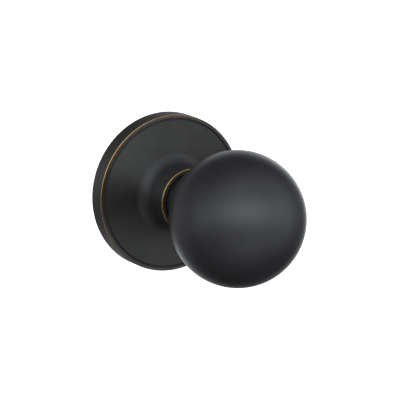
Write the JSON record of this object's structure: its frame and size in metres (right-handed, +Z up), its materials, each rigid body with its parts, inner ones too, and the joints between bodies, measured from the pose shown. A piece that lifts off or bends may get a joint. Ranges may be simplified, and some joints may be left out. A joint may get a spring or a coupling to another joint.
{
  "type": "door knob",
  "caption": "Satin black ball door knob on a round rose with a flared hub: passage type, sprung to return, turning a square spindle through the door.",
  "frame": {"origin": "centre of the rose's back on the face of the door, on the knob's turning axis", "axes": "+Y into the door along the spindle, the knob points to -Y, +Z up, +X to the right of someone facing the door"},
  "size_m": [0.0658, 0.1171, 0.0658],
  "materials": {
    "blackened_brass": "satin near-black with brass rubbed through on the sharp edges",
    "zinc_plated_steel": "zinc plated, satin",
    "turned_steel": "turned",
    "spindle_steel": "drawn bar, bright zinc",
    "spring_steel": "oiled spring steel",
    "die_cast_zinc": "die cast, dull",
    "acetal": "black acetal, fine moulded grain"
  },
  "bodies": {
    "rose": {"rose_cover": "blackened_brass", "mounting_plate": "zinc_plated_steel", "post_left": "zinc_plated_steel", "post_right": "zinc_plated_steel", "cover_screws": "zinc_plated_steel", "spring_anchor": "turned_steel", "stop_studs": "turned_steel", "front_bush": "acetal", "rear_bush": "acetal", "friction_washer": "acetal", "return_spring": "spring_steel"},
    "knob": {"knob_shell": "blackened_brass", "core_washer": "turned_steel", "shank": "turned_steel", "spring_driver": "die_cast_zinc", "spindle_socket": "turned_steel", "spindle": "spindle_steel", "cross_pin": "turned_steel", "spring_washer": "spring_steel", "retaining_ring": "spring_steel"}
  },
  "joints": [
    {"name": "knob_turn", "type": "hinge", "parent": "rose", "child": "knob", "pos_m": [0, 0, 0], "axis": [0, -1, 0], "range_deg": [-50, 50], "stiffness_Nm_per_rad": 0.07, "deforming": ["return_spring"]}
  ]
}
